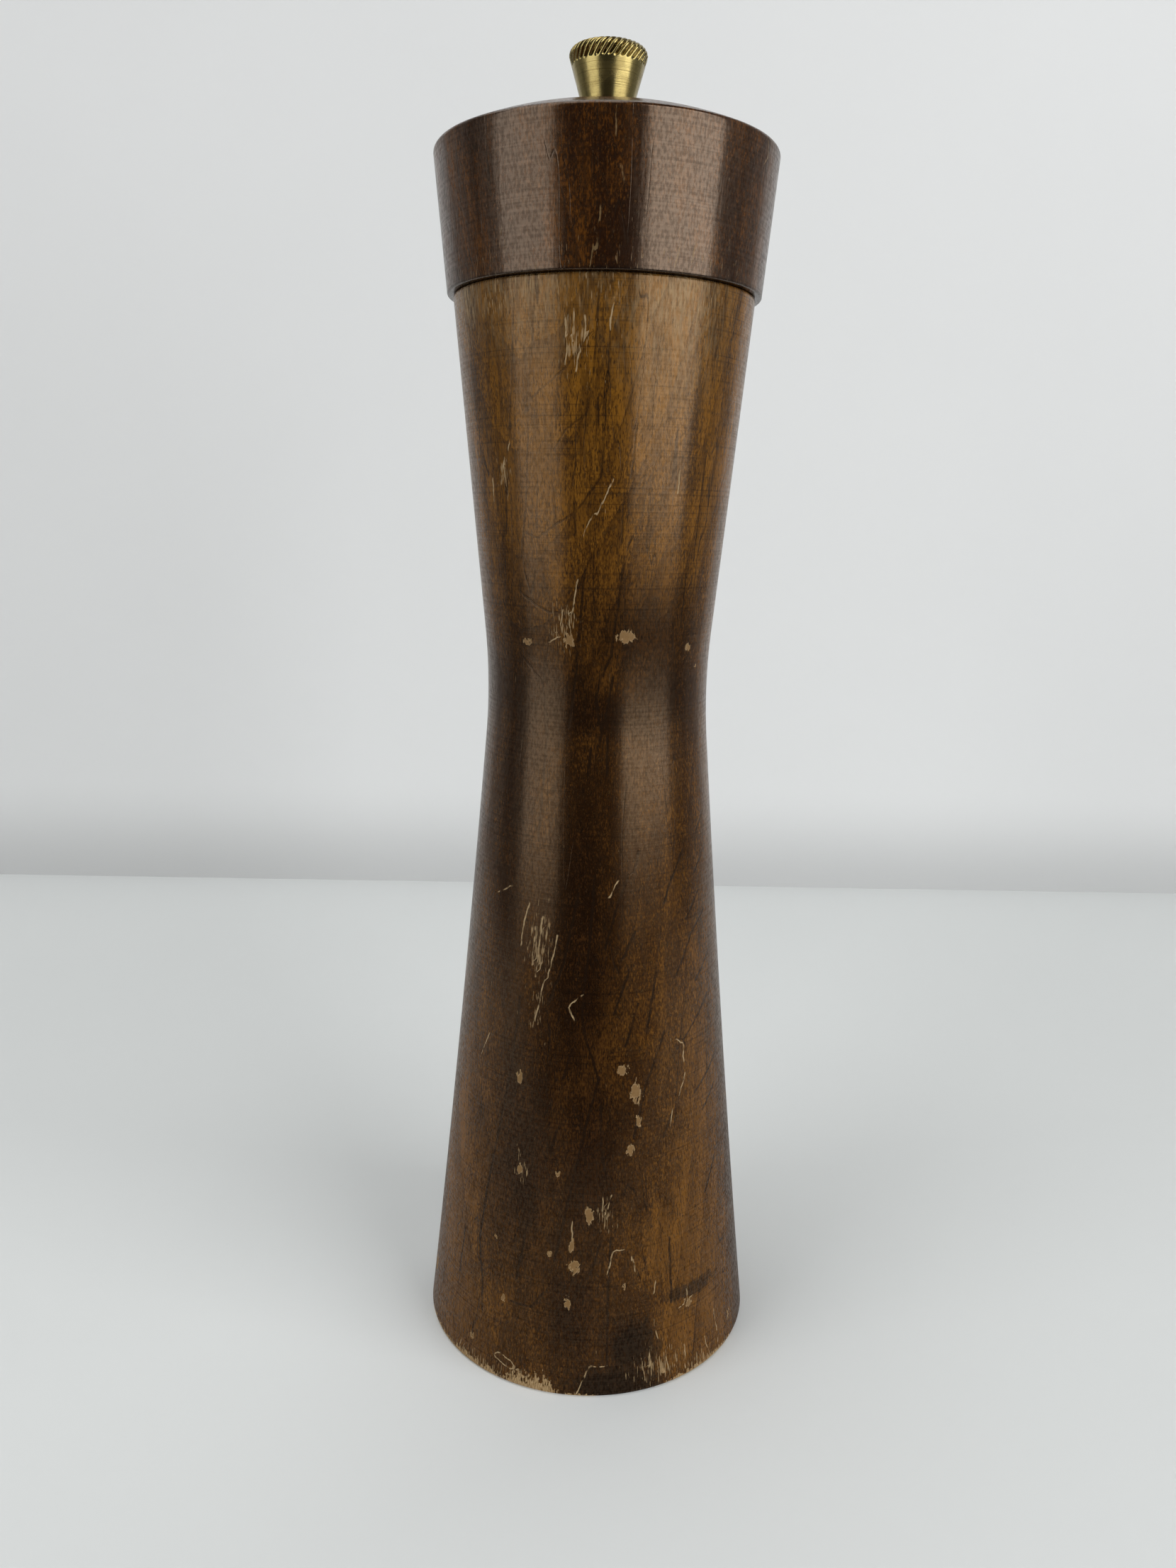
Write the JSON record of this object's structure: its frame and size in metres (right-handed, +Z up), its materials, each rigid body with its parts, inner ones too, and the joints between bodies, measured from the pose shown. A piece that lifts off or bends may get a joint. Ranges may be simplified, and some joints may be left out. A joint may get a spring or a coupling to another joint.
{
  "type": "pepper mill",
  "caption": "Hourglass wooden pepper mill: a turning domed head drives a steel burr through a square shaft, and a brass knob on top sets the grind.",
  "frame": {"origin": "centre of the base on the table", "axes": "+Z up along the turning axis; the pictured side faces -Y"},
  "size_m": [0.0634, 0.0634, 0.2319],
  "materials": {
    "body_wood": "dark stained wood under worn semi-gloss lacquer",
    "head_wood": "darker stained wood under semi-gloss lacquer",
    "knob_brass": "aged turned brass",
    "bush_brass": "plain turned brass",
    "burr_steel": "hardened dark steel",
    "fitting_steel": "plain steel"
  },
  "bodies": {
    "body": {"body": "body_wood", "stator": "burr_steel", "bridge": "fitting_steel", "bridge_bush": "bush_brass", "base_ring": "fitting_steel", "base_ring_screws": "fitting_steel"},
    "drive": {"spring_washer": "fitting_steel", "spring": "fitting_steel"},
    "shaft": {"shaft": "fitting_steel", "rotor": "burr_steel", "rotor_washer": "fitting_steel", "rotor_lock_washer": "fitting_steel", "rotor_nut": "fitting_steel", "stop_collar": "fitting_steel", "stop_pin": "fitting_steel"},
    "head": {"head": "head_wood", "drive_plate": "fitting_steel", "drive_plate_screws": "fitting_steel", "knob_washer": "knob_brass"},
    "knob": {"knob": "knob_brass"}
  },
  "joints": [
    {"name": "head_turn", "type": "hinge", "parent": "body", "child": "drive", "pos_m": [0, 0, 0.1928], "axis": [0, 0, 1], "continuous": true},
    {"name": "grind_adjust", "type": "slide", "parent": "drive", "child": "shaft", "axis": [0, 0, 1], "range_m": [-0.001, 0.0002], "deforming": ["spring"]},
    {"name": "head_lift", "type": "slide", "parent": "drive", "child": "head", "axis": [0, 0, 1], "range_m": [0, 0.062]},
    {"name": "knob_turn", "type": "hinge", "parent": "head", "child": "knob", "pos_m": [0, 0, 0.2217], "axis": [0, 0, 1], "range_deg": [-90, 450]}
  ],
  "couplings": [
    {"joint": "knob_turn", "follows": "grind_adjust", "rad_per_m": -7850}
  ]
}
